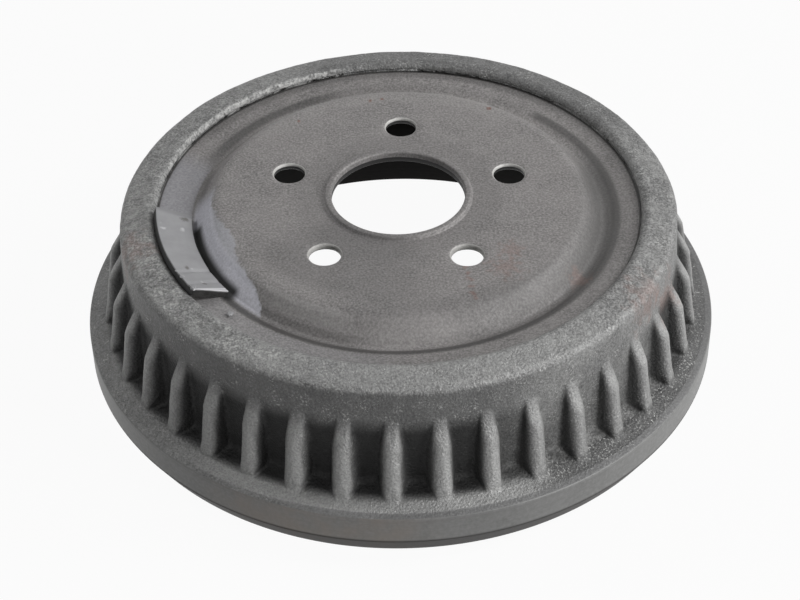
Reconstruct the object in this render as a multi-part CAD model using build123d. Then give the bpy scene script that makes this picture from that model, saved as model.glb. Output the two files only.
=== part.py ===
from build123d import *
import os
from math import asin, atan2, cos, hypot, radians, sin, tan

# Brake drum of composite make: a pressed steel web with its edge cast into a finned
# iron ring, and a balance weight welded on. It stands on its open mouth. Z is the
# wheel axis, Z = 0 is the mouth plane. All sizes are in millimetres, and a depth is
# counted down from the hub face.

# drum as a whole
friction_diameter = 228.6  # turned surface that the shoes rub on
drum_depth = 78.0  # mouth plane to hub face

# web: flat hub face
sheet = 3.3
bore_diameter = 57.2
bore_lip_height = 1.7  # rolled edge that stands round the bore
bore_lip_wall = 2.8
bore_lip_round = 0.9
bolt_circle = 100.0
stud_count = 5
stud_diameter = 13.6
stud_chamfer = 0.6
stud_turn = 88.0  # angle of the first stud hole from +X

# web: pressed step between hub face and iron
slope_run = 9.3  # the hub face falls away to the groove
groove_depth = 10.2
groove_run = 4.7  # the groove's outer side rises to the ledge
ledge_depth = 7.9
ledge_run = 10.1  # the ledge runs out to the seam with the iron
ledge_rise = 1.4
face_bend = 8.0  # bend radii, on the upper side of the sheet
groove_bend = 2.6
ledge_bend = 4.2
grip = 5.5  # how far the sheet's edge runs into the iron

# ring: iron round the web's edge
seam_inset = 11.7  # seam to friction surface
lip_round = 3.4
crown_depth = 1.2
crown_fall = 12.0  # degrees that the crown slopes down outwards
shoulder_round = 4.0
under_lip = 4.3  # iron below the sheet
under_step = 1.6  # the lower lip stands back from the seam
ceiling_round = 7.0
relief_width = 3.0  # run-out groove at the end of the friction surface
relief_depth = 0.8
mouth_chamfer = 1.0

# ring: outer wall and flange
wall_top = 4.7  # iron outside the friction surface, at the shoulder
wall_foot = 6.8  # and at the flange
wall_fillet = 3.0
flange_reach = 23.1  # friction surface to flange rim
rim_chamfer_run = 5.4
rim_chamfer_height = 9.4
rim_band = 12.8  # turned band above the chamfer
shelf_fall = 18.5  # degrees that the flange's cast top slopes down outwards
shelf_round = 0.9

# fins
fin_count = 40
fin_turn = -92.1  # angle of the first fin from +X
fin_top_depth = 18.6  # where the crest comes out of the wall
fin_knee_depth = 29.8  # where the crest turns down
fin_knee_reach = 12.0  # knee to friction surface
fin_knee_cut = 2.2  # the knee is cut off this far above and below
fin_foot_reach = 15.8
fin_width = 7.8  # at the crest, before its edges are rounded
fin_tip_width = 5.4  # the same, where the crest comes out of the wall
fin_crest_round = 2.9
fin_draft = 9.0  # degrees, each flank
fin_root_round = 2.6
fin_bury = 0.4  # overlap into the iron that carries it

# balance weight, a strip welded across the groove
weight_start = 182.0  # degrees from +X
weight_sweep = 34.5  # degrees round the wheel axis
weight_width = 15.8
weight_thickness = 3.3
weight_inset = 11.5  # its outer edge to the friction surface
weight_bite = 0.2  # its two seats are fused this far into it
weld_ball = 5.0  # spot welds leave round dents in its upper side
weld_dent = 0.7
weld_places = [(3.3, 0.3), (7.5, 0.2)]  # degrees along the strip, share of its width

# worked out
friction_radius = friction_diameter / 2
bore_radius = bore_diameter / 2
seam_radius = friction_radius - seam_inset
ledge_radius = seam_radius - ledge_run
groove_radius = ledge_radius - groove_run
face_radius = groove_radius - slope_run
seam_depth = ledge_depth - ledge_rise
wall_top_radius = friction_radius + wall_top
wall_foot_radius = friction_radius + wall_foot
flange_radius = friction_radius + flange_reach
band_top = rim_chamfer_height + rim_band


def level(depth):
    """Height of a depth below the hub face."""
    return drum_depth - depth


def ring_of(points, radii, sweep=360.0):
    """Solid of revolution from a closed outline in (radius, height), corners rounded."""
    with BuildSketch(Plane.XZ) as section:
        with BuildLine():
            Polyline(*points, close=True)
        make_face()
        for point, radius in radii:
            corner = section.vertices().sort_by_distance(Vector(*point))[0]
            fillet(corner, radius)
    return revolve(section.sketch, Axis.Z, revolution_arc=sweep)


def turn(direction):
    """Angle of a (radius, height) step, in radians."""
    return atan2(direction[1], direction[0])


def offset_down(points, distance):
    """The same open line, moved by the sheet's thickness to its lower side."""
    steps = [(b[0] - a[0], b[1] - a[1]) for a, b in zip(points, points[1:])]
    angles = [turn(steps[0])] + [turn(step) for step in steps] + [turn(steps[-1])]
    moved = []
    for point, before, after in zip(points, angles, angles[1:]):
        middle = (before + after) / 2
        reach = distance / cos((after - before) / 2)
        moved.append((point[0] + reach * sin(middle), point[1] - reach * cos(middle)))
    return moved


def web_line():
    """Upper side of the sheet from the bore to its edge inside the iron."""
    rise = ledge_rise / ledge_run
    return [
        (bore_radius, level(0)),
        (face_radius, level(0)),
        (groove_radius, level(groove_depth)),
        (ledge_radius, level(ledge_depth)),
        (seam_radius + grip, level(seam_depth - grip * rise)),
    ]


def make_web_blank():
    upper = web_line()
    lower = offset_down(upper, sheet)
    lower[0] = (bore_radius, level(sheet))
    bends = [(upper[1], face_bend), (upper[2], groove_bend), (upper[3], ledge_bend)]
    bends += [(lower[1], face_bend - sheet), (lower[2], groove_bend + sheet)]
    bends += [(lower[3], ledge_bend - sheet)]
    return ring_of(upper + lower[::-1], bends)


def make_bore_lip():
    top = level(-bore_lip_height)
    outer = bore_radius + bore_lip_wall
    points = [(bore_radius, level(sheet / 2)), (outer, level(sheet / 2)), (outer, top), (bore_radius, top)]
    return ring_of(points, [((outer, top), bore_lip_round), ((bore_radius, top), bore_lip_round)])


def stud_cutter():
    """Hole with a small chamfer at both faces of the sheet."""
    radius = stud_diameter / 2
    wide = radius + stud_chamfer
    spare = 1.0
    points = [(0, level(-spare)), (wide + spare, level(-spare)), (radius, level(stud_chamfer))]
    points += [(radius, level(sheet - stud_chamfer)), (wide + spare, level(sheet + spare))]
    points += [(0, level(sheet + spare))]
    return ring_of(points, [])


def make_web():
    web = make_web_blank() + make_bore_lip()
    for index in range(stud_count):
        angle = stud_turn + index * 360 / stud_count
        web -= Rot(0, 0, angle) * Pos(bolt_circle / 2, 0, 0) * stud_cutter()
    return web


def make_casting():
    """Outside of the ring, solid down to the seam's radius."""
    crown_run = wall_top_radius - seam_radius
    shelf_rise = (flange_radius - wall_foot_radius) * tan(radians(shelf_fall))
    lip_top = (seam_radius, level(crown_depth))
    shoulder = (wall_top_radius, level(crown_depth) - crown_run * tan(radians(crown_fall)))
    wall_end = (wall_foot_radius, band_top + shelf_rise)
    shelf_end = (flange_radius, band_top)
    points = [lip_top, shoulder, wall_end, shelf_end]
    points += [(flange_radius, rim_chamfer_height), (flange_radius - rim_chamfer_run, 0)]
    points += [(seam_radius, 0)]
    rounds = [(lip_top, lip_round), (shoulder, shoulder_round)]
    rounds += [(wall_end, wall_fillet), (shelf_end, shelf_round)]
    return ring_of(points, rounds)


def make_hollow():
    """Everything that is turned away inside the ring, up to its ceiling under the sheet."""
    ceiling = level(seam_depth) - sheet - under_lip
    relief_top = ceiling - ceiling_round
    relief_radius = friction_radius + relief_depth
    corner = (relief_radius, ceiling)
    points = [
        (0, 0),
        (friction_radius + mouth_chamfer, 0),
        (friction_radius, mouth_chamfer),
        (friction_radius, relief_top - relief_width),
        (relief_radius, relief_top - relief_width),
        corner,
        (seam_radius + under_step, ceiling),
        (seam_radius + under_step, level(seam_depth) - sheet / 2),
        (0, level(seam_depth) - sheet / 2),
    ]
    return ring_of(points, [(corner, ceiling_round)])


def wall_reach(depth):
    """Outer wall's distance from the friction surface, on its slope from shoulder to flange."""
    share = (depth - crown_depth) / (drum_depth - band_top - crown_depth)
    return wall_top + (wall_foot - wall_top) * share


def fin_section(depth, reach, base, width):
    """Plan outline of one fin at a depth, from its crest back to its base."""
    draft = radians(fin_draft)
    crest = friction_radius + reach
    root = friction_radius + base - fin_bury
    half = width / 2
    spread = half + (crest - root) * tan(draft)
    corner = tan((radians(90) - draft) / 2)
    crest_run = fin_crest_round * corner
    root_run = fin_root_round * corner
    half_line = [
        (crest, half - crest_run),
        (crest - crest_run * cos(draft), half + crest_run * sin(draft)),
        (root + root_run * cos(draft), spread - root_run * sin(draft)),
        (root, spread + root_run),
    ]
    mirrored = [(x, -y) for x, y in half_line[::-1]]
    with BuildSketch(Plane.XY.offset(level(depth))) as section:
        with BuildLine():
            Line(mirrored[-1], half_line[0])
            RadiusArc(half_line[0], half_line[1], -fin_crest_round)
            Line(half_line[1], half_line[2])
            RadiusArc(half_line[2], half_line[3], fin_root_round)
            Line(half_line[3], mirrored[0])
            RadiusArc(mirrored[0], mirrored[1], fin_root_round)
            Line(mirrored[1], mirrored[2])
            RadiusArc(mirrored[2], mirrored[3], -fin_crest_round)
        make_face()
    return section.sketch


def make_fin():
    """Fin that grows out of the wall on a slope and turns down at its knee to the flange."""
    foot_depth = drum_depth - band_top
    fall = (fin_foot_reach - fin_knee_reach) / (foot_depth - fin_knee_depth)
    slope = (fin_knee_reach - wall_top) / (fin_knee_depth - fin_top_depth)
    above = fin_knee_depth - fin_knee_cut
    below = fin_knee_depth + fin_knee_cut
    sections = [
        (fin_top_depth, wall_top, wall_top - fin_crest_round - fin_root_round, fin_tip_width),
        (above, fin_knee_reach - fin_knee_cut * slope, wall_reach(above), fin_width),
        (below, fin_knee_reach + fin_knee_cut * fall, wall_reach(below), fin_width),
        (foot_depth, fin_foot_reach, wall_foot, fin_width),
    ]
    return loft([fin_section(*row) for row in sections], ruled=True)


def make_ring(web):
    fin = make_fin()
    fins = [Rot(0, 0, fin_turn + index * 360 / fin_count) * fin for index in range(fin_count)]
    return make_casting().fuse(*fins) - make_hollow() - web


def weight_lean():
    """Lean of the strip, which rests on the ledge's bend and on the iron's rounded lip."""
    fall = radians(crown_fall)
    lip_centre_depth = crown_depth + lip_round * (tan(fall) + 1 / cos(fall))
    run = seam_radius + lip_round - ledge_radius
    climb = ledge_depth - lip_centre_depth
    return atan2(climb, run) + asin(lip_round / hypot(run, climb))


def make_weight(web, ring):
    lean = weight_lean()
    across = Vector(cos(lean), sin(lean))
    upward = Vector(-sin(lean), cos(lean))
    outer = friction_radius - weight_inset
    seat = Vector(ledge_radius, level(ledge_depth)) - upward * weight_bite
    thick = upward * weight_thickness
    end = seat + across * ((outer - seat.X - thick.X) / across.X)
    start = end - across * weight_width
    points = [start, end, end + thick, start + thick]
    strip = ring_of([(point.X, point.Y) for point in points], [], weight_sweep)
    for angle, share in weld_places:
        spot = start + thick + across * weight_width * share
        dent = Sphere(weld_ball)
        rise = upward * (weld_ball - weld_dent)
        centre = spot + rise
        strip -= Rot(0, 0, angle) * Pos(centre.X, 0, centre.Y) * dent
    return Rot(0, 0, weight_start) * strip - web - ring


def write(name, shape):
    shape.label = name
    export_step(shape, os.path.join("parts", name + ".step"))
    print(name, "solids", len(shape.solids()), "volume", round(shape.volume, 1))


os.makedirs("parts", exist_ok=True)
web = make_web()
ring = make_ring(web)
weight = make_weight(web, ring)
write("steel_web", web)
write("finned_ring", ring)
write("balance_weight", weight)
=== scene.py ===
from math import atan2, cos, pi, radians, sin, tan

import bmesh
import bpy
from mathutils import Matrix, Vector, noise


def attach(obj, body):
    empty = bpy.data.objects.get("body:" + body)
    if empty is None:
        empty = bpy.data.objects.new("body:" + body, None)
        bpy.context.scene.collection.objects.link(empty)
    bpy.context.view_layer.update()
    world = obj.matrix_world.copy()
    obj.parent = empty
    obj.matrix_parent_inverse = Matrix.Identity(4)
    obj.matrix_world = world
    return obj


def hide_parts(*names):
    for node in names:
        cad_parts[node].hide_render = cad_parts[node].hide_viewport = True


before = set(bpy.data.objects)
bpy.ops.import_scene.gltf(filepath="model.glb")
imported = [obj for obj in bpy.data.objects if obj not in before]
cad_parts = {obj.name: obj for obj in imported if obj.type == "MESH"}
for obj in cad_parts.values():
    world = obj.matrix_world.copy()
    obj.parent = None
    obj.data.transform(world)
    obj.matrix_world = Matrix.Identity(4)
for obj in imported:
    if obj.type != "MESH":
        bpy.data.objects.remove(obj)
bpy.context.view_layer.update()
print("stage: packed drum loaded")

mm = 0.001
hubFace = 78.0  # height of the hub face over the mouth, in mm; heights in the lists below are counted from it


def hexColour(text):
    values = [int(text[i:i + 2], 16) / 255 for i in (1, 3, 5)]
    linear = [v / 12.92 if v <= 0.04045 else ((v + 0.055) / 1.055) ** 2.4 for v in values]
    return (*linear, 1.0)


def addNode(tree, kind, links=None, out=None, **settings):
    # links: input name or number -> socket or plain value; out: hand back that output, not the node
    node = tree.nodes.new(kind)
    for key, value in settings.items():
        setattr(node, key, value)
    for key, value in (links or {}).items():
        socket = node.inputs[key]
        if isinstance(value, bpy.types.NodeSocket):
            tree.links.new(value, socket)
        else:
            socket.default_value = value
    return node if out is None else node.outputs[out]


def roundedLine(corners, step, arcStep):
    # corners: (r, z, rounding); gives evenly stepped points with the corners rounded
    line = []
    count = len(corners)
    for i, (r, z, radius) in enumerate(corners):
        here = Vector((r, z))
        if i in (0, count - 1) or radius <= 0:
            line.append(here)
            continue
        before = (Vector(corners[i - 1][:2]) - here).normalized()
        after = (Vector(corners[i + 1][:2]) - here).normalized()
        half = before.angle(after) / 2
        reach = radius / tan(half)
        centre = here + (before + after).normalized() * (radius / sin(half))
        start = here + before * reach
        end = here + after * reach
        a = atan2(*(start - centre).yx)
        b = atan2(*(end - centre).yx)
        sweep = (b - a + pi) % (2 * pi) - pi
        parts = max(2, round(abs(sweep) * radius / arcStep))
        for k in range(parts + 1):
            angle = a + sweep * k / parts
            line.append(centre + radius * Vector((cos(angle), sin(angle))))
    points = [line[0]]
    for p, q in zip(line, line[1:]):
        parts = max(1, round((q - p).length / step))
        points += [p.lerp(q, k / parts) for k in range(1, parts + 1)]
    return points


def evenLine(points, count):
    # the same line cut in count equal steps
    lengths = [0.0]
    for p, q in zip(points, points[1:]):
        lengths.append(lengths[-1] + (q - p).length)
    out = []
    j = 0
    for k in range(count + 1):
        want = lengths[-1] * k / count
        while j < len(points) - 2 and lengths[j + 1] < want:
            j += 1
        span = lengths[j + 1] - lengths[j] or 1.0
        out.append(points[j].lerp(points[j + 1], min(1, (want - lengths[j]) / span)))
    return out


def addObject(name, data):
    piece = bpy.data.objects.new(name, data)
    bpy.context.scene.collection.objects.link(piece)
    return piece


def meshPiece(name, verts, faces, attributes=None):
    # verts in mm; attributes: name -> one value for each vertex
    mesh = bpy.data.meshes.new(name)
    mesh.from_pydata([[c * mm for c in v] for v in verts], [], faces)
    for key, values in (attributes or {}).items():
        layer = mesh.attributes.new(key, "FLOAT", "POINT")
        layer.data.foreach_set("value", values)
    mesh.update()
    return addObject(name, mesh)


def geometryTree(name, inputs):
    tree = bpy.data.node_groups.new(name, "GeometryNodeTree")
    tree.interface.new_socket("Geometry", in_out="INPUT", socket_type="NodeSocketGeometry")
    for label, kind in inputs:
        tree.interface.new_socket(label, in_out="INPUT", socket_type=kind)
    tree.interface.new_socket("Geometry", in_out="OUTPUT", socket_type="NodeSocketGeometry")
    return tree, addNode(tree, "NodeGroupInput"), addNode(tree, "NodeGroupOutput")


def runTree(piece, tree, values):
    # puts the tree on the piece and takes the result as its plain mesh
    modifier = piece.modifiers.new("nodes", "NODES")
    modifier.node_group = tree
    for item in tree.interface.items_tree:
        if item.in_out == "INPUT" and item.name in values:
            modifier[item.identifier] = values[item.name]
    bpy.context.view_layer.update()
    graph = bpy.context.evaluated_depsgraph_get()
    result = bpy.data.meshes.new_from_object(piece.evaluated_get(graph))
    piece.modifiers.remove(modifier)
    old = piece.data
    piece.data = result
    result.name = piece.name
    bpy.data.meshes.remove(old)
    return piece


def turnedCopies(tree, piece, count, firstTurn):
    # count copies of a sector round the wheel axis, merged into one skin
    points = addNode(tree, "GeometryNodePoints", {"Count": count}, "Points")
    index = addNode(tree, "GeometryNodeInputIndex", out="Index")
    step = addNode(tree, "ShaderNodeMath", {0: 2 * pi, 1: count}, 0, operation="DIVIDE")
    angle = addNode(tree, "ShaderNodeMath", {0: index, 1: step, 2: firstTurn}, 0, operation="MULTIPLY_ADD")
    turn = addNode(tree, "ShaderNodeCombineXYZ", {"Z": angle}, "Vector")
    copies = addNode(tree, "GeometryNodeInstanceOnPoints",
                     {"Points": points, "Instance": piece, "Rotation": turn}, "Instances")
    real = addNode(tree, "GeometryNodeRealizeInstances", {0: copies}, 0)
    return addNode(tree, "GeometryNodeMergeByDistance", {"Geometry": real, "Distance": 0.01 * mm}, "Geometry")


def bareTree(owner):
    # the empty node tree of a material or a world
    owner.use_nodes = True
    owner.node_tree.nodes.clear()
    return owner.node_tree


def newMaterial(name):
    material = bpy.data.materials.new(name)
    tree = bareTree(material)
    shader = addNode(tree, "ShaderNodeBsdfPrincipled")
    addNode(tree, "ShaderNodeOutputMaterial", {"Surface": shader.outputs[0]})
    return material, tree, shader, addNode(tree, "ShaderNodeTexCoord", out="Object")


def wheelPlace(tree, place):
    # radius in mm, turn in degrees from the left side, and height over the hub face in mm
    parts = addNode(tree, "ShaderNodeSeparateXYZ", {"Vector": place})
    flat = addNode(tree, "ShaderNodeVectorMath", {0: place, 1: (1 / mm, 1 / mm, 0)}, 0, operation="MULTIPLY")
    radius = addNode(tree, "ShaderNodeVectorMath", {0: flat}, "Value", operation="LENGTH")
    back = addNode(tree, "ShaderNodeVectorMath", {0: flat, 1: (-1, -1, 0)}, 0, operation="MULTIPLY")
    sides = addNode(tree, "ShaderNodeSeparateXYZ", {"Vector": back})
    angle = addNode(tree, "ShaderNodeMath", {0: sides.outputs["Y"], 1: sides.outputs["X"]}, 0,
                    operation="ARCTAN2")
    turn = addNode(tree, "ShaderNodeMath", {0: angle}, 0, operation="DEGREES")
    height = addNode(tree, "ShaderNodeMath", {0: parts.outputs["Z"], 1: 1 / mm, 2: -hubFace}, 0,
                     operation="MULTIPLY_ADD")
    return radius, turn, height


def mottle(tree, place, size, low, high, detail=3.0):
    # patchy pattern from 0 to 1; size is its grain in mm
    pattern = addNode(tree, "ShaderNodeTexNoise",
                      {"Vector": place, "Scale": 1 / (size * mm), "Detail": detail, "Roughness": 0.6}, 0)
    return addNode(tree, "ShaderNodeMapRange", {"Value": pattern, "From Min": low, "From Max": high}, 0)


def between(tree, value, low, high, edge):
    # 1 from low to high, fading out over the edge on both sides
    rise = addNode(tree, "ShaderNodeMapRange", {"Value": value, "From Min": low - edge, "From Max": low}, 0,
                   interpolation_type="SMOOTHSTEP")
    fall = addNode(tree, "ShaderNodeMapRange", {"Value": value, "From Min": high + edge, "From Max": high}, 0,
                   interpolation_type="SMOOTHSTEP")
    return addNode(tree, "ShaderNodeMath", {0: rise, 1: fall}, 0, operation="MULTIPLY")


def sector(tree, turn, start, end, edge):
    # 1 over the turns from start to end, also across the right side where the turn jumps from 180 to -180
    off = addNode(tree, "ShaderNodeMath", {0: turn, 1: (start + end) / 2}, 0, operation="SUBTRACT")
    near = addNode(tree, "ShaderNodeMath", {0: off, 1: 180.0, 2: -180.0}, 0, operation="WRAP")
    away = addNode(tree, "ShaderNodeMath", {0: near}, 0, operation="ABSOLUTE")
    half = (end - start) / 2
    return addNode(tree, "ShaderNodeMapRange", {"Value": away, "From Min": half + edge, "From Max": half}, 0,
                   interpolation_type="SMOOTHSTEP")


def overlap(tree, *shares):
    # the shares multiplied together
    share = shares[0]
    for other in shares[1:]:
        share = addNode(tree, "ShaderNodeMath", {0: share, 1: other}, 0, operation="MULTIPLY")
    return share


def blotch(tree, place, turn, radius, height, reach, ragged):
    # 1 round one spot and 0 beyond its reach in mm; the ragged pattern breaks its edge
    a = radians(turn + 180)
    centre = (radius * cos(a) * mm, radius * sin(a) * mm, (hubFace + height) * mm)
    away = addNode(tree, "ShaderNodeVectorMath", {0: place, 1: centre}, "Value", operation="DISTANCE")
    uneven = addNode(tree, "ShaderNodeMath", {0: ragged, 1: 1.2 * reach * mm, 2: away}, 0,
                     operation="MULTIPLY_ADD")
    return addNode(tree, "ShaderNodeMapRange",
                   {"Value": uneven, "From Min": 1.6 * reach * mm, "From Max": 0.7 * reach * mm}, 0,
                   interpolation_type="SMOOTHSTEP")


def paintedLightAndShade(tree, where, rows):
    # one (share, colour) layer of painted light and shade for each row, inside its spans of radius, turn and
    # height
    layers = []
    for row in rows:
        share = row["share"]
        for name, limit in (("radius", between), ("turn", sector), ("height", between)):
            if name in row:
                share = overlap(tree, share, limit(tree, where[name], *row[name]))
        layers.append((share, row["colour"]))
    return layers


def paint(tree, base, layers):
    # lays each colour over the ones before it, by its share
    for share, colour in layers:
        colour = hexColour(colour) if isinstance(colour, str) else colour
        base = addNode(tree, "ShaderNodeMix", {0: share, 6: base, 7: colour}, 2, data_type="RGBA")
    return base


def addBump(tree, shader, height, depth, strength):
    # depth in mm
    bump = addNode(tree, "ShaderNodeBump", {"Height": height, "Strength": strength, "Distance": depth * mm}, 0)
    tree.links.new(bump, shader.inputs["Normal"])


# a spot is (turn from the left side, radius, height, reach), a zone's span is (from, to, fade); degrees and mm
castIron = {
    "metal": 0.15,  # how far the bare iron shows through its skin
    "rust": [(15, 116, -6, 13), (148, 119, -8, 14), (156, 120, -20, 14)],
    "rustShare": 0.35,
    "flashTurn": (-72, -14),
    # painted light and shade: areas of the iron painted darker or lighter to stand for less or more light
    # falling there
    "paintedLightAndShade": [
        {"radius": (104, 117, 1.5), "height": (-5, 2, 1.5), "turn": (215, 285, 18),
         "share": 0.5, "colour": "#484848"},
        {"radius": (104, 117, 1.5), "height": (-5, 2, 1.5), "turn": (66, 118, 16),
         "share": 0.3, "colour": "#acacab"},
        {"radius": (116, 122, 2), "height": (-25, -7, 2), "turn": (36, 104, 18),
         "share": 0.55, "colour": "#545454"},
        {"radius": (127, 134.5, 1.5), "turn": (58, 108, 14), "share": 0.55, "colour": "#b8b8b7"},
        {"radius": (116, 122, 2), "height": (-25, -7, 2), "turn": (-15, 26, 14),
         "share": 0.25, "colour": "#484848"},
        {"radius": (127, 140, 1.5), "turn": (122, 215, 14), "share": 0.78, "colour": "#464646"},
        {"radius": (116, 122, 2), "height": (-22, -6, 2), "turn": (160, 210, 18),
         "share": 0.3, "colour": "#484848"},
    ],
}
webSteel = {
    "metal": 0.15,
    "patchEdge": [(0, 80), (6, 78), (14, 76), (18, 74.2), (24, 74.2), (28, 76.8), (37, 79.2), (47, 83.8),
                  (52, 93), (56, 97)],  # inner edge of the clean patch beside the weight: (turn, radius)
    "patchSpan": (60.0, 70.0, 30.0),  # the turns, the least radius and the depth that its curve covers
    "spots": [(-80.4, 71.6, 0, 1.5), (-84.8, 72.2, 0, 1.2), (-123.7, 75.9, 0, 1.6), (-51.9, 71.1, 0, 1.3)],
    "streak": [(119, 56, 0, 2.0), (117.5, 60, 0, 1.8), (116.3, 64, 0, 2.2), (115, 68, 0, 1.8),
               (114.2, 72, 0, 2.2), (113.6, 76, 0, 1.6)],
    "rust": [(147, 88, -9, 7), (131, 66, 0, 9), (140, 60, 0, 7)],
    "offCentre": 1.1,  # how far the line of painted shade along the ledge corner lies off the wheel axis
    "offTurn": -0.35,  # and which way, in radians
    # the line of painted shade along the ledge corner: its radii and fade, then spans of turn with their shares
    "ledgeShadeLine": (91.1, 92.8, 2.0),
    "ledgeShade": [(16, 134, 8, 0.85), (138, 226, 4, 0.7), (296, 326, 16, 0.75), (234, 284, 8, 0.12)],
    # painted light and shade: areas of the sheet painted darker or lighter to stand for less or more light
    # falling there; the bluish rows also carry the clean steel's tint
    "paintedLightAndShade": [
        {"radius": (30, 40, 8), "share": 0.2, "colour": "#5a5959"},
        {"radius": (30, 66, 8), "turn": (40, 88, 20), "share": 0.32, "colour": "#5a5959"},
        {"radius": (74, 79, 7), "turn": (84, 118, 20), "share": 0.28, "colour": "#5a5959"},
        {"radius": (78, 84, 4), "turn": (128, 186, 16), "share": 0.42, "colour": "#5d5c5b"},
        {"radius": (80.5, 86, 3), "turn": (84, 97, 17), "share": 0.4, "colour": "#a6a3a2"},
        {"radius": (79.5, 82.5, 2.5), "turn": (52, 70, 9), "share": 0.5, "colour": "#a6a4a3"},
        {"radius": (86, 90, 9), "turn": (152, 194, 18), "share": 0.8, "colour": "#5d5c5b"},
        {"radius": (78, 91, 2), "turn": (112, 140, 12), "share": 0.3, "colour": "#5d5c5b"},
        {"radius": (85.4, 88.0, 2.4), "turn": (-16, 5, 8), "share": 0.45, "colour": "#3a3938"},
        {"radius": (85.5, 90.5, 1.5), "turn": (44, 74, 10), "share": 0.35, "colour": "#484746"},
        {"radius": (88, 94, 2.5), "turn": (-46, -18, 8), "share": 0.2, "colour": "#454443"},
        {"radius": (72, 88, 5), "turn": (236, 312, 18), "share": 0.2, "colour": "#b0adab"},
        {"radius": (101, 103, 3), "turn": (-130, -36, 10), "share": 0.4, "colour": "#4a4948"},
        {"radius": (89.6, 104, 1), "turn": (-18, 12, 9), "share": 0.7, "colour": "#9e9ea3"},
        {"radius": (94, 104, 1), "turn": (40, 80, 12), "share": 0.3, "colour": "#8f8f92"},
    ],
}
weightSteel = {
    "metal": 0.2,
    "scuffs": [(5.0, 91.5, -4.5, 2.4), (26.5, 97.7, -2.2, 1.4), (33.5, 95.6, -3, 1.2)],
    "shine": [(9.6, 92.7, -4.0, 1.3), (10.6, 100.4, -0.8, 1.5), (8.5, 101.5, 0, 1.0), (26.9, 95.7, -2.8, 1.0),
              (32.6, 95.5, -2.8, 1.0), (30.2, 102.0, 0, 1.1)],
}


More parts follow.
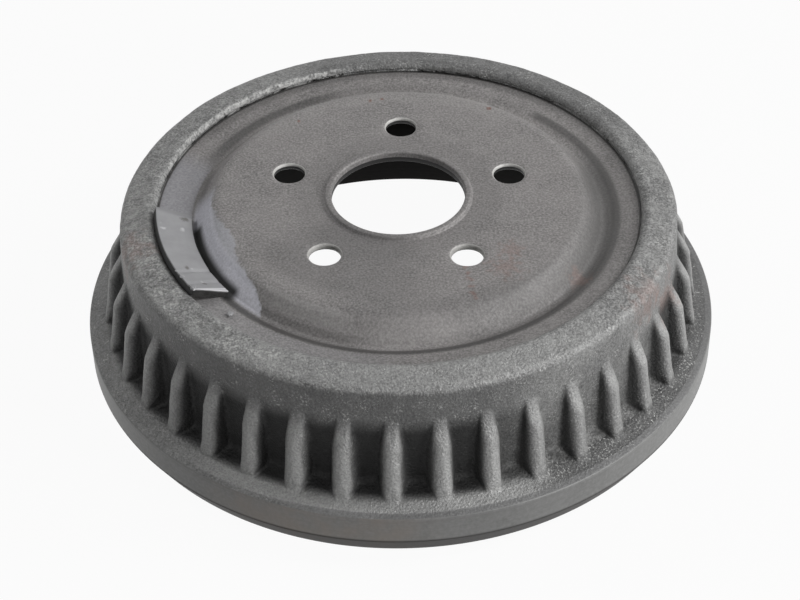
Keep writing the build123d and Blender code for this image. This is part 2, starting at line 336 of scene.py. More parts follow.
def castIronMaterial():
    # sand-cast grey iron: matt and grainy from the sand, brighter where it is rubbed, with painted shade
    # between the fins and on their flanks
    material, tree, shader, place = newMaterial("sandCastIron")
    radius, turn, height = wheelPlace(tree, place)
    where = {"radius": radius, "turn": turn, "height": height}
    grit = mottle(tree, place, 1.0, 0.3, 0.7, 2.0)
    coarse = mottle(tree, place, 3.2, 0.3, 0.7, 2.0)
    clouds = mottle(tree, place, 16, 0.38, 0.62)
    ragged = mottle(tree, place, 5, 0.3, 0.7)
    sparkle = mottle(tree, place, 0.9, 0.56, 0.68, 1.0)
    cluster = mottle(tree, place, 7, 0.45, 0.7)
    recess, crest, shadedFlank = [addNode(tree, "ShaderNodeAttribute", out="Fac", attribute_name=mark)
                          for mark in ("recess", "crest", "shadedFlank")]
    crown = between(tree, height, -5.5, 2.0, 1.5)
    rubbedCrown = overlap(tree, crown, sector(tree, turn, 16, 62, 12), between(tree, radius, 107, 116, 2),
                          mottle(tree, place, 8, 0.42, 0.58), mottle(tree, place, 1.3, 0.5, 0.6, 1.0))
    feet = overlap(tree, between(tree, radius, 127, 133, 1.5), sector(tree, turn, 104, 178, 10), 0.35)
    strip = overlap(tree, between(tree, radius, 135.0, 140, 0.7), sector(tree, turn, 74, 240, 8), 0.7)
    rust = [overlap(tree, blotch(tree, place, *spot, ragged), castIron["rustShare"])
            for spot in castIron["rust"]]
    # painted shade in the pockets is heavier at the left and the front of the drum than at the right
    pocketShadeByTurn = addNode(tree, "ShaderNodeMapRange",
                      {"Value": sector(tree, turn, -60, 98, 26), "To Min": 0.05, "To Max": 0.97}, 0)
    flash = overlap(tree, sector(tree, turn, *castIron["flashTurn"], 8),
                    between(tree, radius, 103.6, 104.5, 0.35), mottle(tree, place, 1.7, 0.42, 0.64, 1.0))
    # painted shade on the fins' flanks turned away from the lamps, one side of each fin on the right of the
    # drum and the other on the left
    rightShadedFlank, leftShadedFlank = [addNode(tree, "ShaderNodeMath", {0: overlap(tree, shadedFlank, side), 1: 0.0}, 0,
                                 operation="MAXIMUM") for side in (1.0, -1.0)]
    # painted shadow in the crevice between the weight and the ring's lip
    shadowBehindWeight = overlap(tree, sector(tree, turn, 2, 34.5, 1.5), between(tree, radius, 90, 104.0, 0.5))
    # painted shade: the open gap at the seam at the back, drawn near black
    seamGapShade = overlap(tree, sector(tree, turn, -89, -78.5, 1), between(tree, height, -9, -3.0, 1.0),
                       between(tree, radius, 90, 103.2, 0.4))
    colour = paint(tree, hexColour("#585858"), [
        (clouds, "#6b6b6a"),
        (grit, "#868685"),
        (overlap(tree, coarse, clouds), "#919190"),
        (overlap(tree, crown, grit, coarse), "#b1b1b0"),
        *paintedLightAndShade(tree, where, castIron["paintedLightAndShade"]),
        (overlap(tree, sparkle, cluster), "#bdbdbb"),
        (overlap(tree, rubbedCrown, 0.75), "#cacac8"),
        (overlap(tree, sparkle, feet), "#c8c8c6"),
        # painted highlight along the fins' crests, which are also rubbed bright
        (overlap(tree, crest, 0.6), "#b0b0af"),
        (strip, "#737373"),
        *[(spot, "#8b6a60") for spot in rust],
        (flash, "#bdbdbb"),
        # painted shade on the flanks turned away from the lamps
        (overlap(tree, rightShadedFlank, sector(tree, turn, 104, 200, 12), 0.85), "#1f1f1f"),
        (overlap(tree, leftShadedFlank, sector(tree, turn, -30, 60, 14), 0.8), "#1f1f1f"),
        # painted shade deep in the pockets between the fins, and more of it in the pockets on the right
        (overlap(tree, recess, pocketShadeByTurn), "#1b1b1b"),
        (overlap(tree, recess, sector(tree, turn, 156, 230, 12), 0.8), "#232323"),
        # near black painted shadow beside the weight
        (shadowBehindWeight, "#080808"),
        # the seam's open gap as painted shade
        (seamGapShade, "#0a0a0a")])
    grain = addNode(tree, "ShaderNodeMapRange",
                    {"Value": mottle(tree, place, 0.8, 0.3, 0.7, 1.0), "To Min": 0.8, "To Max": 1.16}, 0)
    grained = addNode(tree, "ShaderNodeHueSaturation", {"Color": colour, "Value": grain}, 0)
    tree.links.new(grained, shader.inputs["Base Color"])
    rough = addNode(tree, "ShaderNodeMapRange", {"Value": grit, "To Min": 0.6, "To Max": 0.42}, 0)
    tree.links.new(rough, shader.inputs["Roughness"])
    dull = addNode(tree, "ShaderNodeMapRange", {"Value": recess, "To Min": 0.5, "To Max": 0.28}, 0)
    tree.links.new(dull, shader.inputs["Specular IOR Level"])
    shader.inputs["Metallic"].default_value = castIron["metal"]
    depth = addNode(tree, "ShaderNodeMath", {0: strip, 1: -0.8, 2: 1.0}, 0, operation="MULTIPLY_ADD")
    addBump(tree, shader, overlap(tree, grit, depth), 0.26, 0.9)
    return material


def turnedIronMaterial():
    # grey iron turned on a lathe: fine rings from the tool, a thin brown bloom where it has been handled
    material, tree, shader, place = newMaterial("turnedIron")
    turn, height = wheelPlace(tree, place)[1:]
    clouds = mottle(tree, place, 20, 0.35, 0.65)
    grit = mottle(tree, place, 1.6, 0.35, 0.7)
    # tool marks are closer than 0.3 mm on the drum; drawn 1 mm apart so that they show
    marks = addNode(tree, "ShaderNodeTexNoise", {"W": height, "Scale": 1.0, "Detail": 2.0}, 0,
                    noise_dimensions="1D")
    bloom = overlap(tree, sector(tree, turn, 62, 86, 12), clouds)
    # painted shade on the lower edge and its chamfer, which face the floor; their specular is also cut below
    lowEdge = between(tree, height, -90, -68.4, 1.2)
    colour = paint(tree, hexColour("#737372"), [
        (clouds, "#7c7c7b"), (overlap(tree, marks, grit), "#8f8f8e"), (overlap(tree, bloom, 0.6), "#837970"),
        (overlap(tree, lowEdge, 0.8), "#3a3837")])
    tree.links.new(colour, shader.inputs["Base Color"])
    dull = addNode(tree, "ShaderNodeMapRange", {"Value": lowEdge, "To Min": 0.5, "To Max": 0.04}, 0)
    tree.links.new(dull, shader.inputs["Specular IOR Level"])
    shader.inputs["Roughness"].default_value = 0.5
    shader.inputs["Metallic"].default_value = 0.2
    addBump(tree, shader, marks, 0.06, 0.5)
    return material


def shoeFaceMaterial():
    # the turned bore that the shoes rub, dull, painted near black as the shade inside the closed drum
    material, tree, shader, place = newMaterial("shadedTurnedBore")
    height = wheelPlace(tree, place)[2]
    clouds = mottle(tree, place, 20, 0.35, 0.65)
    marks = addNode(tree, "ShaderNodeTexNoise", {"W": height, "Scale": 0.8, "Detail": 2.0}, 0,
                    noise_dimensions="1D")
    colour = paint(tree, hexColour("#222120"), [(clouds, "#282726"), (overlap(tree, marks, clouds), "#343332")])
    tree.links.new(colour, shader.inputs["Base Color"])
    shader.inputs["Roughness"].default_value = 0.75
    shader.inputs["Specular IOR Level"].default_value = 0.15
    addBump(tree, shader, marks, 0.06, 0.5)
    return material


def webSteelMaterial():
    # hot rolled sheet pressed to shape: smooth and faintly mottled, with a line of painted shade along the
    # ledge corner
    material, tree, shader, place = newMaterial("pressedSteel")
    radius, turn, height = wheelPlace(tree, place)
    clouds = mottle(tree, place, 26, 0.36, 0.64, 4.0)
    smudge = mottle(tree, place, 9, 0.42, 0.68, 3.0)
    grain = mottle(tree, place, 0.95, 0.32, 0.68, 2.0)
    ragged = mottle(tree, place, 3, 0.3, 0.7)
    turns, innermost, deep = webSteel["patchSpan"]
    edge = addNode(tree, "ShaderNodeFloatCurve",
                   {"Value": addNode(tree, "ShaderNodeMath", {0: turn, 1: turns}, 0, operation="DIVIDE")})
    curve = edge.mapping.curves[0]
    for turnAt, radiusAt in webSteel["patchEdge"]:
        curve.points.new(turnAt / turns, (radiusAt - innermost) / deep)
    edge.mapping.update()
    reach = addNode(tree, "ShaderNodeMath", {0: edge.outputs[0], 1: deep, 2: innermost}, 0,
                    operation="MULTIPLY_ADD")
    shaken = addNode(tree, "ShaderNodeMath", {0: ragged, 1: 1.6, 2: radius}, 0, operation="MULTIPLY_ADD")
    beyond = addNode(tree, "ShaderNodeMath", {0: shaken, 1: reach}, 0, operation="SUBTRACT")
    outside = addNode(tree, "ShaderNodeMapRange", {"Value": beyond, "From Min": 0.4, "From Max": 1.6}, 0)
    bluePatch = overlap(tree, outside, sector(tree, turn, 2, 54, 12), between(tree, radius, 70, 86, 3))
    where = {"radius": radius, "turn": turn, "height": height}
    swing = addNode(tree, "ShaderNodeMath", {0: turn, 1: pi / 180, 2: webSteel["offTurn"]}, 0,
                    operation="MULTIPLY_ADD")
    swing = addNode(tree, "ShaderNodeMath", {0: swing}, 0, operation="COSINE")
    centred = addNode(tree, "ShaderNodeMath", {0: swing, 1: webSteel["offCentre"], 2: radius}, 0,
                      operation="MULTIPLY_ADD")
    # painted shade along the ledge corner, on a circle a little off the axis
    ledgeShade = [overlap(tree, between(tree, centred, *webSteel["ledgeShadeLine"]), sector(tree, turn, *turns), share)
             for *turns, share in webSteel["ledgeShade"]]
    spots = [blotch(tree, place, *spot, ragged) for spot in webSteel["spots"]]
    streak = [overlap(tree, blotch(tree, place, *spot, ragged), 0.6) for spot in webSteel["streak"]]
    rust = [overlap(tree, blotch(tree, place, *spot, ragged), 0.35) for spot in webSteel["rust"]]
    # painted shade on the web's lowest parts, deep inside the drum
    below = between(tree, height, -40, -14.4, 0.4)
    # painted shade low in the walls of the bore and the stud holes
    holeWall = overlap(tree, between(tree, radius, 20, 70, 1), between(tree, height, -3.0, -1.1, 0.25))
    # painted highlight on the holes' upper edge, at the front nearly all the way down
    studHoles = between(tree, radius, 41.5, 58.5, 0.5)
    litHoleEdge = overlap(tree, studHoles, between(tree, height, -1.3, -0.15, 0.1))
    litFrontHoleWall = overlap(tree, studHoles, between(tree, height, -2.5, -0.15, 0.1),
                         sector(tree, turn, 40, 140, 5))
    colour = paint(tree, hexColour("#686665"), [
        (clouds, "#858281"),
        (overlap(tree, smudge, 0.6), "#8f8c8b"),
        (overlap(tree, grain, 0.8), "#a29f9e"),
        *paintedLightAndShade(tree, where, webSteel["paintedLightAndShade"]),
        (overlap(tree, bluePatch, 0.9), "#a6a6ac"),
        # painted light on the patch's slope, and a painted glint on its lower part
        (overlap(tree, bluePatch, between(tree, radius, 80.5, 92, 2)), "#d0d0d8"),
        (overlap(tree, bluePatch, sector(tree, turn, 32, 56, 5), between(tree, radius, 82, 85.5, 1.5)),
         "#e0e0e8"),
        *[(share, "#3f3e3d") for share in ledgeShade],
        *[(spot, "#7d5a50") for spot in spots],
        *[(spot, "#80625a") for spot in streak],
        *[(spot, "#8a6d64") for spot in rust],
        # painted shadow under the weight's inner edge
        (overlap(tree, sector(tree, turn, 8, 37.5, 3), between(tree, radius, 85.9, 90, 2.6)), "#050505"),
        (between(tree, radius, 103.0, 110, 0.5), "#4a4948"),
        (holeWall, "#1f1e1e"),
        (litHoleEdge, "#c6c5c2"),
        (litFrontHoleWall, "#b4b3b0"),
        (below, "#3a3938")])
    speckle = addNode(tree, "ShaderNodeMapRange", {"Value": grain, "To Min": 0.94, "To Max": 1.14}, 0)
    dusty = addNode(tree, "ShaderNodeMapRange",
                    {"Value": mottle(tree, place, 1.3, 0.3, 0.7, 2.0), "To Min": 0.92, "To Max": 1.09}, 0)
    grained = addNode(tree, "ShaderNodeHueSaturation",
                      {"Color": colour, "Value": overlap(tree, speckle, dusty)}, 0)
    tree.links.new(grained, shader.inputs["Base Color"])
    rough = addNode(tree, "ShaderNodeMapRange", {"Value": clouds, "To Min": 0.48, "To Max": 0.62}, 0)
    tree.links.new(rough, shader.inputs["Roughness"])
    shader.inputs["Metallic"].default_value = webSteel["metal"]
    addBump(tree, shader, grain, 0.05, 0.6)
    return material


def weightSteelMaterial():
    # rolled steel strip, hammered to the ring and welded down: smooth blue-grey, with painted shade on its
    # edges and a painted highlight at its near end
    material, tree, shader, place = newMaterial("rolledStrip")
    turn = wheelPlace(tree, place)[1]
    clouds = mottle(tree, place, 10, 0.35, 0.65)
    ragged = mottle(tree, place, 3, 0.3, 0.7)
    side = addNode(tree, "ShaderNodeAttribute", out="Fac", attribute_name="side")
    # painted shade, near black, on the strip's edges and underside
    shadedSides = addNode(tree, "ShaderNodeMapRange", {"Value": side, "From Min": 0.05, "From Max": 0.25}, 0)
    # painted highlight along the top edge of the near end
    endHighlight = sector(tree, turn, 36.0, 38.5, 0.25)
    farEnd = sector(tree, turn, -2, 3.2, 1.2)
    scuffs = [blotch(tree, place, *spot, ragged) for spot in weightSteel["scuffs"]]
    shine = [blotch(tree, place, *spot, ragged) for spot in weightSteel["shine"]]
    colour = paint(tree, hexColour("#979799"), [
        (clouds, "#a2a2a4"), (farEnd, "#8a8a8c"), *[(spot, "#6f6d6b") for spot in scuffs],
        *[(spot, "#c2c2c4") for spot in shine], (endHighlight, "#d8d8da"), (shadedSides, "#0b0b0b"),
        (overlap(tree, shadedSides, endHighlight, ragged), "#3b3a39")])
    tree.links.new(colour, shader.inputs["Base Color"])
    shader.inputs["Roughness"].default_value = 0.5
    shader.inputs["Metallic"].default_value = weightSteel["metal"]
    addBump(tree, shader, ragged, 0.05, 0.4)
    return material


castIron["material"] = castIronMaterial()
turnedIron = turnedIronMaterial()
shoeFace = shoeFaceMaterial()
webSteel["material"] = webSteelMaterial()
weightSteel["material"] = weightSteelMaterial()
print("stage: materials made")


ring = {
    "seam": (103.6, -6.5),
    "underLip": (103.3, -4.9, 0.6),
    "lip": (102.6, -1.2, 3.4),
    "shoulder": (119.0, -4.6, 4.0),
    "wallFoot": (121.1, -50.4, 3.5),
    "castEnd": 134.6,  # radius where the rough shelf gives way to the smooth strip
    "shelfEdge": (137.4, -55.8, 0.9),
    "bandFoot": (137.4, -68.5, 0.25),
    "mouthOuter": (132.0, -78.0, 0.4),
    "friction": 114.3,
    "mouthChamfer": 1.0,
    "relief": (115.1, -24.1),
    "ceiling": (-14.1, 7.0, 1.2),  # height, rounding outside and inside
    "slot": (104.2, 108.2),  # the sheet is held between these radii
    "sheet": 3.3,
    "play": (0.1, 0.5),  # room over the sheet at the seam, and round its edge
    "fins": 40,
    "firstFin": -92.1,
    "finTop": 18.6,
    "finKnee": (126.3, -29.8, 6.0),
    "finFoot": 130.1,
    "finRows": 31,
    "crestHalf": 3.2,
    "crestNarrow": 1.4,  # how much narrower the crest is at its top
    "crestRound": 4.8,
    "rootRound": 2.2,
    "draft": 17.0,
    "leastHeight": 4.0,  # a lower fin has the section of one this high, pressed flat
    "narrowOver": 5.5,  # the crest is narrower until the fin is this high
    "steps": {"crown": (1.45, 0.95), "fins": (0.5, 0.3), "edge": (2.6, 0.4), "inside": (30.0, 2.4)},
    # the steps are along a line and round its corners; a wave and a grain of the sand are (height, length)
    "wave": (0.8, 25.0),
    "grain": (0.3, 3.4),
    "flashRadius": (103.5, 104.8),
    "flash": 0.8,
}


def ringLines(size):
    # from the seam over the crown, down the wall under the fins, along the fins' crests, the edge, the inside
    steps = size["steps"]
    sx, sz = size["shoulder"][:2]
    fx, fz = size["wallFoot"][:2]
    finTop = (sx + (fx - sx) * (-size["finTop"] - sz) / (fz - sz), -size["finTop"], 0)
    ex, ez = size["shelfEdge"][:2]
    foot = (size["finFoot"], fz + (ez - fz) * (size["finFoot"] - fx) / (ex - fx), 0)
    seam = (*size["seam"], 0)
    above = roundedLine([seam, size["underLip"], size["lip"], size["shoulder"], finTop], *steps["crown"])
    under, over = [evenLine(roundedLine([finTop, corner, foot], *steps["fins"]), size["finRows"])
                   for corner in (size["wallFoot"], size["finKnee"])]
    mouth = (size["friction"] + size["mouthChamfer"], -hubFace, 0)
    outer = roundedLine([foot, size["shelfEdge"], size["bandFoot"], size["mouthOuter"], mouth], *steps["edge"])
    inner, slot = size["slot"]
    gap, play = size["play"]
    sheetTop = size["seam"][1] + gap
    ceiling, outerRound, innerRound = size["ceiling"]
    inside = roundedLine([
        mouth, (size["friction"], -hubFace + size["mouthChamfer"], 0),
        (size["friction"], size["relief"][1], 0), (*size["relief"], 0),
        (size["relief"][0], ceiling, outerRound), (inner, ceiling, innerRound),
        (inner, sheetTop - size["sheet"], 0), (slot, sheetTop - size["sheet"] + play, 0),
        (slot, sheetTop + play, 0), seam], *steps["inside"])
    return above, under, over, outer, inside


def finSection(size, height):
    # half of a fin's cross-section, from its middle to the middle of the pocket: (across, share of the height)
    reach = max(height, size["leastHeight"])
    half = size["crestHalf"] - size["crestNarrow"] * max(0.0, 1 - height / size["narrowOver"]) ** 2
    foot = half + reach * tan(radians(size["draft"]))
    pocket = pi * size["finKnee"][0] / size["fins"]
    lean = radians(90 - size["draft"])
    rootRound = min(size["rootRound"], reach * 0.4)
    top = min(min(size["crestRound"], reach * 0.6) * tan(lean / 2), half * 0.97)
    crestRound = top / tan(lean / 2)
    crestCentre = Vector((half - top, reach - crestRound))
    rootCentre = Vector((foot + rootRound * tan(lean / 2), rootRound))
    crestTurns = [pi / 2 - lean * k / 3 for k in range(4)]
    rootTurns = [-pi / 2 - lean * (1 - k / 3) for k in range(4)]
    arc = [crestCentre + crestRound * Vector((cos(angle), sin(angle))) for angle in crestTurns]
    root = [rootCentre + rootRound * Vector((cos(angle), sin(angle))) for angle in rootTurns]
    points = [Vector((0, reach)), Vector(((half - top) / 2, reach)), *arc, arc[-1].lerp(root[0], 0.5), *root]
    points += [root[-1].lerp(Vector((pocket, 0)), 0.5), Vector((pocket, 0))]
    return [(p.x / pocket, p.y / reach) for p in points]


def makeFinSector(size):
    # one fin with its share of the ring; the marks tell the materials what is where
    above, under, over, outer, inside = ringLines(size)
    rows = [(p, p) for p in above[:-1]] + list(zip(under, over)) + [(p, p) for p in outer[1:]]
    outerCount = len(rows)
    rows += [(p, p) for p in inside[1:-1]]
    verts = []
    marks = {"recess": [], "crest": [], "shadedFlank": [], "cast": [], "machined": [], "bore": []}
    for number, (low, high) in enumerate(rows):
        rise = (high - low).length
        half = finSection(size, rise)
        across = [(-a, s) for a, s in half[:0:-1]] + half
        machined = number >= outerCount or low.y < size["shelfEdge"][1] - 0.2
        cast = 0.0 if machined else max(0.0, min(1.0, (size["castEnd"] - low.x) / 1.2 + 0.5))
        for a, s in across:
            p = low.lerp(high, s)
            angle = a * pi / size["fins"]
            verts.append((p.x * cos(angle), p.x * sin(angle), p.y + hubFace))
            grown = min(1.0, rise / size["leastHeight"])
            side = (a < 0) - (a > 0)
            # how deep in a pocket a point lies, for the painted shade there and its duller specular
            marks["recess"].append(min(1.0, rise / 3.4) * max(0.0, 1.0 - 1.1 * s))
            # the middle of each flank, signed by its side, for the painted shade on the flanks
            marks["shadedFlank"].append(grown * side * max(0.0, min(1.0, 4 * s, 2.4 - 2.4 * s)))
            # near the fin's crest, for the painted highlight there
            marks["crest"].append(grown * max(0.0, s * 3 - 2))
            marks["cast"].append(cast)
            marks["machined"].append(float(machined))
            marks["bore"].append(float(number >= outerCount))
    columns = len(across)
    faces = []
    for j in range(len(rows)):
        n = (j + 1) % len(rows)
        for i in range(columns - 1):
            faces.append((n * columns + i, n * columns + i + 1, j * columns + i + 1, j * columns + i))
    return meshPiece("ironRing", verts, faces, marks)


def ringTree(size):
    tree, given, result = geometryTree("ringOfFins", [
        ("Fins", "NodeSocketInt"), ("First fin", "NodeSocketFloat"),
        ("Wave height", "NodeSocketFloat"), ("Wave length", "NodeSocketFloat"),
        ("Grain height", "NodeSocketFloat"), ("Grain length", "NodeSocketFloat"),
        ("Flash height", "NodeSocketFloat"),
        ("Cast iron", "NodeSocketMaterial"), ("Turned iron", "NodeSocketMaterial"),
        ("Shoe face", "NodeSocketMaterial")])
    put = given.outputs
    joined = turnedCopies(tree, put["Geometry"], put["Fins"], put["First fin"])
    place = addNode(tree, "GeometryNodeInputPosition", out=0)
    normal = addNode(tree, "GeometryNodeInputNormal", out=0)
    cast = addNode(tree, "GeometryNodeInputNamedAttribute", {"Name": "cast"}, 0, data_type="FLOAT")
    lift = 0.0
    for height, length in (("Wave height", "Wave length"), ("Grain height", "Grain length")):
        scale = addNode(tree, "ShaderNodeMath", {0: 1.0, 1: put[length]}, 0, operation="DIVIDE")
        pattern = addNode(tree, "ShaderNodeTexNoise", {"Vector": place, "Scale": scale, "Detail": 1.0}, 0)
        centred = addNode(tree, "ShaderNodeMath", {0: pattern, 1: 0.5}, 0, operation="SUBTRACT")
        lift = addNode(tree, "ShaderNodeMath", {0: centred, 1: put[height], 2: lift}, 0,
                       operation="MULTIPLY_ADD")
    sand = addNode(tree, "ShaderNodeVectorMath", {0: normal, "Scale": overlap(tree, lift, cast)}, 0,
                   operation="SCALE")
    moved = addNode(tree, "GeometryNodeSetPosition", {"Geometry": joined, "Offset": sand}, 0)
    # a low ragged ridge of flash where the mould's halves met the sheet
    radius, turn, above = wheelPlace(tree, place)
    ridge = overlap(tree, sector(tree, turn, *castIron["flashTurn"], 6),
                    between(tree, radius, *size["flashRadius"], 1.0),
                    between(tree, above, -3.0, 1.0, 0.8), mottle(tree, place, 4, 0.3, 0.6, 1.0))
    up = addNode(tree, "ShaderNodeCombineXYZ", {"Z": overlap(tree, ridge, put["Flash height"])}, 0)
    ridged = addNode(tree, "GeometryNodeSetPosition", {"Geometry": moved, "Offset": up}, 0)
    smooth = addNode(tree, "GeometryNodeSetShadeSmooth", {"Geometry": ridged}, 0)
    dressed = addNode(tree, "GeometryNodeSetMaterial", {"Geometry": smooth, "Material": put["Cast iron"]}, 0)
    for mark, finish in (("machined", "Turned iron"), ("bore", "Shoe face")):
        here = addNode(tree, "GeometryNodeInputNamedAttribute", {"Name": mark}, 0, data_type="FLOAT")
        chosen = addNode(tree, "FunctionNodeCompare", {0: here, 1: 0.45}, 0, data_type="FLOAT",
                         operation="GREATER_THAN")
        dressed = addNode(tree, "GeometryNodeSetMaterial",
                          {"Geometry": dressed, "Material": put[finish], "Selection": chosen}, 0)
    tree.links.new(dressed, result.inputs[0])
    return tree


ironRing = runTree(makeFinSector(ring), ringTree(ring), {
    "Fins": ring["fins"], "First fin": radians(ring["firstFin"]),
    "Wave height": ring["wave"][0] * mm, "Wave length": ring["wave"][1] * mm,
    "Grain height": ring["grain"][0] * mm, "Grain length": ring["grain"][1] * mm,
    "Flash height": ring["flash"] * mm,
    "Cast iron": castIron["material"], "Turned iron": turnedIron, "Shoe face": shoeFace})
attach(ironRing, "root")
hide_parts("finned_ring")
print("stage: ring cast,", len(ironRing.data.polygons), "faces")


web = {
    "bore": 28.6,
    "lipWall": 2.8,
    "lipHeight": 1.7,
    "lipRound": 0.9,
    "sheet": 3.3,
    "line": [(78.5, 0.0, 8.0), (87.8, -10.2, 2.6), (92.5, -7.9, 4.2), (108.1, -5.74, 0)],
    "holes": 5,
    "firstHole": 88.0,
    "holeCircle": 50.0,
    "holeRadius": 6.8,
    "chamfer": 0.6,
    "flat": (33.4, 66.0),  # the flat with the stud holes lies between these radii
    "columns": 120,
    "dent": (0.35, 38.0),  # height and length of the sheet's unevenness
    "dented": (80, 99, 4),  # the groove and ledge between these radii have it
    "steps": {"top": (1.0, 0.6), "bottom": (2.5, 1.2), "lip": (1.5, 0.3)},
    "holeSides": 16,  # steps along each side of the flat
    "holeRings": (0.6, 0.3, 0.1, 0.0),  # rings from the flat's edge to the hole, as shares of the way
}


def lowerSide(corners, distance):
    # the sheet's lower side: each corner moved square to the line
    points = [Vector(c[:2]) for c in corners]
    angles = [atan2(*(q - p).yx) for p, q in zip(points, points[1:])]
    angles = [angles[0]] + angles + [angles[-1]]
    out = []
    for (r, z, radius), before, after in zip(corners, angles, angles[1:]):
        middle = (before + after) / 2
        reach = distance / cos((after - before) / 2)
        bent = radius - distance if after < before else radius + distance
        out.append((r + reach * sin(middle), z - reach * cos(middle), max(0.4, bent) if radius else 0))
    return out


def makeWebSector(size):
    # one fifth of the web, with its stud hole in the middle of the flat
    flat, outerRadius = size["flat"]
    line = [(outerRadius, 0.0, 0)] + size["line"]
    steps = size["steps"]
    top = roundedLine(line, *steps["top"])
    bottom = roundedLine(lowerSide(line, size["sheet"]), *steps["bottom"])[::-1]
    bore = size["bore"]
    lipOuter = bore + size["lipWall"]
    lip = roundedLine([(flat, -size["sheet"], 0), (bore, -size["sheet"], 0.3),
                       (bore, size["lipHeight"], size["lipRound"]),
                       (lipOuter, size["lipHeight"], size["lipRound"]),
                       (lipOuter, 0.0, 0.9), (flat, 0.0, 0)], *steps["lip"])
    columns = size["columns"]
    step = 2 * pi / size["holes"] / columns
    limit = columns / 2 * step
    verts = []
    faces = []

    def turnedRow(p):
        first = len(verts)
        for i in range(columns + 1):
            angle = (i - columns / 2) * step
            verts.append((p.x * cos(angle), p.x * sin(angle), p.y))
        return [first + i for i in range(columns + 1)]

    topRows = [turnedRow(p) for p in top]
    bottomRows = [turnedRow(p) for p in bottom]
    lipRows = [turnedRow(p) for p in lip]
    for rows in (topRows + bottomRows, lipRows):
        for a, b in zip(rows, rows[1:]):
            faces.extend((b[i], b[i + 1], a[i + 1], a[i]) for i in range(columns))

    # the flat round the hole on both sides of the sheet, and the hole's wall
    sides = size["holeSides"]
    centre = Vector((size["holeCircle"], 0))

    def flatLoop(innerRow, outerRow, height):
        loop = list(outerRow)
        for start, end, side in ((outerRadius, flat, 1), (flat, outerRadius, -1)):
            for k in range(1, sides):
                r = start + (end - start) * k / sides
                verts.append((r * cos(limit), side * r * sin(limit), height))
                loop.append(len(verts) - 1)
            if side == 1:
                loop += list(innerRow[::-1])
        return loop

    def holeRing(loop, radius, height, share):
        ringOut = []
        for v in loop:
            p = Vector(verts[v][:2]) - centre
            q = centre + (p.normalized() * radius).lerp(p, share)
            verts.append((q.x, q.y, height))
            ringOut.append(len(verts) - 1)
        return ringOut

    upper = flatLoop(lipRows[-1], topRows[0], 0.0)
    lower = flatLoop(lipRows[0], bottomRows[-1], -size["sheet"])
    radius = size["holeRadius"]
    edge = size["chamfer"]
    rings = [upper] + [holeRing(upper, radius + edge, 0.0, s) for s in size["holeRings"]]
    rings += [holeRing(upper, radius, -edge, 0.0), holeRing(upper, radius, edge - size["sheet"], 0.0)]
    rings += [holeRing(lower, radius + edge, -size["sheet"], s) for s in size["holeRings"][::-1]] + [lower]
    for a, b in zip(rings, rings[1:]):
        for i in range(len(a)):
            n = (i + 1) % len(a)
            faces.append((a[i], a[n], b[n], b[i]))
    return meshPiece("pressedWeb", [(x, y, z + hubFace) for x, y, z in verts], faces)


def webTree(size):
    tree, given, result = geometryTree("webOfHoles", [
        ("Holes", "NodeSocketInt"), ("First hole", "NodeSocketFloat"),
        ("Dent depth", "NodeSocketFloat"), ("Dent length", "NodeSocketFloat"), ("Steel", "NodeSocketMaterial")])
    put = given.outputs
    joined = turnedCopies(tree, put["Geometry"], put["Holes"], put["First hole"])
    # pressed sheet is never quite even: slow shallow dents, none on the face that the wheel seats on
    place = addNode(tree, "GeometryNodeInputPosition", out=0)
    radius = wheelPlace(tree, place)[0]
    scale = addNode(tree, "ShaderNodeMath", {0: 1.0, 1: put["Dent length"]}, 0, operation="DIVIDE")
    pattern = addNode(tree, "ShaderNodeTexNoise", {"Vector": place, "Scale": scale, "Detail": 1.0}, 0)
    low = addNode(tree, "ShaderNodeMath", {0: pattern, 1: 0.75}, 0, operation="SUBTRACT")
    share = overlap(tree, low, between(tree, radius, *size["dented"]), put["Dent depth"])
    down = addNode(tree, "ShaderNodeCombineXYZ", {"Z": share}, 0)
    dented = addNode(tree, "GeometryNodeSetPosition", {"Geometry": joined, "Offset": down}, 0)
    smooth = addNode(tree, "GeometryNodeSetShadeSmooth", {"Geometry": dented}, 0)
    steel = addNode(tree, "GeometryNodeSetMaterial", {"Geometry": smooth, "Material": put["Steel"]}, 0)
    tree.links.new(steel, result.inputs[0])
    return tree


pressedWeb = runTree(makeWebSector(web), webTree(web), {
    "Holes": web["holes"], "First hole": radians(web["firstHole"]),
    "Dent depth": web["dent"][0] * mm, "Dent length": web["dent"][1] * mm, "Steel": webSteel["material"]})
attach(pressedWeb, "root")
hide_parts("steel_web")
print("stage: web pressed,", len(pressedWeb.data.polygons), "faces")


weight = {
    "outer": (103.0, 0.3),
    "inner": (88.5, -6.3),
    "thickness": 3.3,
    "outerTurn": (2.9, 35.8),
    "innerTurn": (1.6, 37.6),
    "span": (60, 15),  # length and width that its ripples are drawn on
    "creases": [(0.72, 0.5), (0.87, 0.35)],  # share of the length, height
    "creaseLean": 0.05,
    "creaseReach": 0.03,
    "ripple": (0.35, 9.0),  # height, length
    "rippleSeed": 1.7,
    "rippleSink": 0.4,  # how far the ripples lie under the plain strip, as a share of their height
    "along": 90,
    "across": 24,
    # beads of weld metal: radius, turn, height, size; how lumpy and how flat they are
    "spatter": [(102.4, 35.2, -0.3, 1.3), (102.9, 30.4, -0.2, 0.8), (103.0, 27.5, -0.4, 0.6),
                (97.0, 44.9, -6.3, 1.3)],
    "lumps": 0.5,
    "flatness": 0.6,
    "edge": (0.35, 2, 50),  # bevel width in mm, segments, least angle of a beveled edge
}


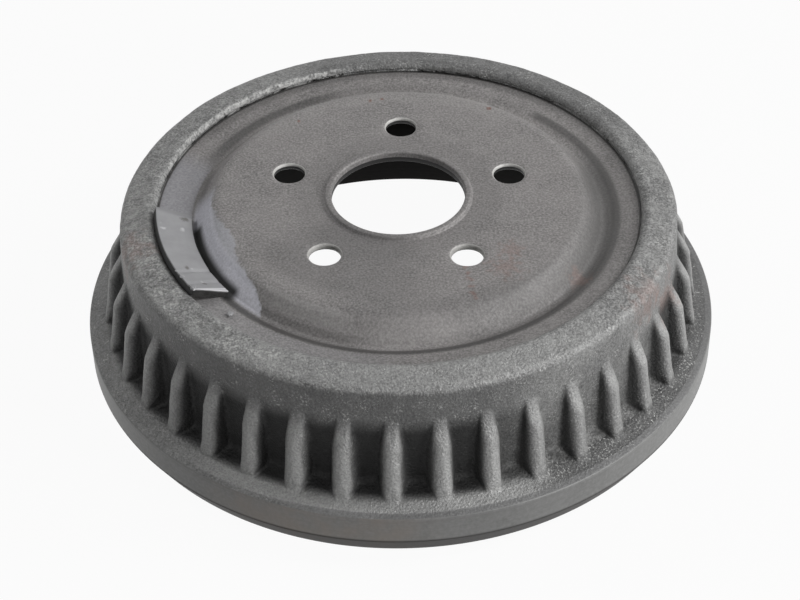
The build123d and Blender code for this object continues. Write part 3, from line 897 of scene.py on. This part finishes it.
def makeWeight(size):
    outer = Vector(size["outer"])
    inner = Vector(size["inner"])
    down = Vector(((outer - inner).y, -(outer - inner).x)).normalized() * size["thickness"]
    along = size["along"]
    wide = size["across"]

    def place(u, v, low):
        # u along the strip, v across it; hammered to the ring's curve, so it has creases and ripples
        p = inner.lerp(outer, v) + down * low
        turns = [a + (b - a) * v for a, b in zip(size["innerTurn"], size["outerTurn"])]
        angle = radians(180 + turns[0] + (turns[1] - turns[0]) * u)
        height, length = size["ripple"]
        lengthwise, crosswise = size["span"]
        spot = Vector((u * lengthwise / length, v * crosswise / length, size["rippleSeed"]))
        lift = height * (noise.noise(spot) - size["rippleSink"])
        for at, fold in size["creases"]:
            lift -= fold * max(0.0, 1 - abs(u - at - size["creaseLean"] * v) / size["creaseReach"])
        return (p.x * cos(angle), p.x * sin(angle), p.y + hubFace + lift)

    verts = []
    faces = []
    sides = []
    for low in (0.0, 1.0):
        first = len(verts)
        verts += [place(i / along, j / wide, low) for i in range(along + 1) for j in range(wide + 1)]
        sides.append([[first + i * (wide + 1) + j for j in range(wide + 1)] for i in range(along + 1)])
    top, bottom = sides
    for i in range(along):
        for j in range(wide):
            faces.append((top[i][j], top[i][j + 1], top[i + 1][j + 1], top[i + 1][j]))
            faces.append((bottom[i + 1][j], bottom[i + 1][j + 1], bottom[i][j + 1], bottom[i][j]))
        faces.append((bottom[i + 1][0], bottom[i][0], top[i][0], top[i + 1][0]))
        faces.append((bottom[i][wide], bottom[i + 1][wide], top[i + 1][wide], top[i][wide]))
    for j in range(wide):
        faces.append((bottom[0][j], bottom[0][j + 1], top[0][j + 1], top[0][j]))
        faces.append((bottom[along][j + 1], bottom[along][j], top[along][j], top[along][j + 1]))
    side = [0.0] * (len(verts) // 2) + [1.0] * (len(verts) // 2)
    return meshPiece("weldedStrip", verts, faces, {"side": side})


def addSpatter(piece, look):
    # beads of weld metal beside the strip
    shape = bmesh.new()
    shape.from_mesh(piece.data)
    for radius, turn, height, size in look["spatter"]:
        angle = radians(180 + turn)
        centre = Vector((radius * cos(angle), radius * sin(angle), hubFace + height)) * mm
        bead = bmesh.ops.create_icosphere(shape, subdivisions=3, radius=size * mm)["verts"]
        for v in bead:
            v.co *= 1 + look["lumps"] * noise.noise(v.co / mm + Vector((turn, 0, 0)))
            v.co = centre + v.co * Vector((1, 1, look["flatness"]))
    shape.to_mesh(piece.data)
    shape.free()


weldedStrip = makeWeight(weight)
addSpatter(weldedStrip, weight)
weldedStrip.data.materials.append(weightSteel["material"])
bevelWidth, bevelSegments, bevelAngle = weight["edge"]
bevel = weldedStrip.modifiers.new("edge", "BEVEL")
bevel.width = bevelWidth * mm
bevel.segments = bevelSegments
bevel.limit_method = "ANGLE"
bevel.angle_limit = radians(bevelAngle)
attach(weldedStrip, "root")
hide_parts("balance_weight")
print("stage: weight laid on")


studio = {
    "floor": "#cfcfcf",
    "floorGap": 0.02,  # so that the mouth face and the floor don't share one plane
    "floorReach": 6.0,
    "backgroundShare": 0.95,  # how far the floor shows as plain white; the rest keeps the shadow
    "world": 0.03,
    "aim": (0, 0, 0.05),
    "lampDistance": 1.6,
    # name, turn and height over the floor in degrees, width and height in metres, light on a face turned to it
    "lamps": [("rightBox", 2, 38, 0.45, 0.8, 0.54), ("rightLow", -38, 15, 0.4, 0.4, 0.44),
              ("leftBox", 154, 43, 0.5, 0.5, 0.17)],
    "lens": 90.9,
    "sensor": 36.0,
    # the camera's place, and two of its axes
    "camera": (-0.00014, -0.68698, 0.60134),
    "sideways": (0.99980895, -0.01263723, -0.01491186),
    "upward": (0.01954644, 0.6464, 0.7627483),
}


def seenShare(tree):
    # 1 for what the camera sees, straight or in a reflection, and 0 for the light that falls on the drum
    ray = addNode(tree, "ShaderNodeLightPath").outputs
    seen = addNode(tree, "ShaderNodeMath", {0: ray["Is Camera Ray"], 1: ray["Is Glossy Ray"]}, 0,
                   operation="ADD")
    return addNode(tree, "ShaderNodeMath", {0: seen, 1: ray["Is Transmission Ray"]}, 0, operation="ADD")


def makeFloor(size):
    # pale floor that shows white and keeps the shadow
    reach = size["floorReach"]
    mesh = bpy.data.meshes.new("floor")
    low = -size["floorGap"] * mm
    corners = [(-reach, -reach, low), (reach, -reach, low), (reach, reach, low), (-reach, reach, low)]
    mesh.from_pydata(corners, [], [(0, 1, 2, 3)])
    floor = addObject("floor", mesh)
    material = bpy.data.materials.new("paleFloor")
    tree = bareTree(material)
    matt = addNode(tree, "ShaderNodeBsdfDiffuse", {"Color": hexColour(size["floor"])}, 0)
    glow = addNode(tree, "ShaderNodeEmission", {"Color": (1, 1, 1, 1), "Strength": 1.0}, 0)
    share = overlap(tree, seenShare(tree), size["backgroundShare"])
    mixed = addNode(tree, "ShaderNodeMixShader", {0: share, 1: matt, 2: glow}, 0)
    addNode(tree, "ShaderNodeOutputMaterial", {"Surface": mixed})
    mesh.materials.append(material)


def makeLamp(size, name, turn, rise, width, height, light):
    data = bpy.data.lights.new(name, "AREA")
    data.shape = "RECTANGLE"
    data.size = width
    data.size_y = height
    data.energy = light * (pi * size["lampDistance"]) ** 2
    lamp = addObject(name, data)
    a, b = radians(turn), radians(rise)
    away = Vector((cos(a) * cos(b), sin(a) * cos(b), sin(b)))
    lamp.location = Vector(size["aim"]) + away * size["lampDistance"]
    lamp.rotation_euler = away.to_track_quat("Z", "Y").to_euler()


def makeCamera(size):
    data = bpy.data.cameras.new("camera")
    data.lens = size["lens"]
    data.sensor_width = size["sensor"]
    camera = addObject("camera", data)
    sideways = Vector(size["sideways"])
    upward = Vector(size["upward"])
    turn = Matrix((sideways, upward, sideways.cross(upward))).transposed().to_4x4()
    camera.matrix_world = Matrix.Translation(size["camera"]) @ turn
    bpy.context.scene.camera = camera


def makeWorld(size):
    world = bpy.data.worlds.new("softRoom")
    tree = bareTree(world)
    glow = addNode(tree, "ShaderNodeBackground", {"Color": (1, 1, 1, 1), "Strength": size["world"]}, 0)
    white = addNode(tree, "ShaderNodeBackground", {"Color": (1, 1, 1, 1), "Strength": 1.0}, 0)
    mixed = addNode(tree, "ShaderNodeMixShader", {0: seenShare(tree), 1: glow, 2: white}, 0)
    addNode(tree, "ShaderNodeOutputWorld", {"Surface": mixed})
    bpy.context.scene.world = world


makeFloor(studio)
for lamp in studio["lamps"]:
    makeLamp(studio, *lamp)
makeCamera(studio)
makeWorld(studio)
bpy.context.scene.view_settings.view_transform = "Standard"
print("stage: floor, light and camera set")
